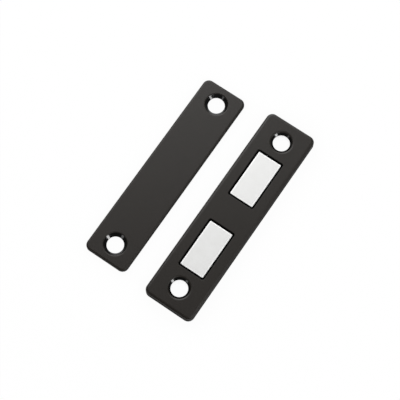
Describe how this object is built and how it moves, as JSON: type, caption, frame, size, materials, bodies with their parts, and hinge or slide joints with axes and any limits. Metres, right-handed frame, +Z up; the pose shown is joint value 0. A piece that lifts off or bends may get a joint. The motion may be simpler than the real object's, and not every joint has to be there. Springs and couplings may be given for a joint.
{
  "type": "magnetic catch",
  "caption": "Ultra-thin magnetic cabinet catch: black plate with magnets set in windows, and a flat strike plate, both with countersunk screw holes.",
  "frame": {"origin": "middle of the magnet half's back face, on the plane that both halves lie on", "axes": "+X along both plates, +Y across them from the magnet half to the strike plate, +Z up out of the faces that meet"},
  "size_m": [0.07, 0.0404, 0.003],
  "materials": {
    "black_coating": "matte",
    "nickel_plate": "satin",
    "zinc_plate": "satin"
  },
  "bodies": {
    "root": {"catch_cover": "black_coating", "strike_plate": "black_coating", "magnet_1": "nickel_plate", "magnet_2": "nickel_plate", "backing_plate": "zinc_plate"}
  },
  "joints": []
}
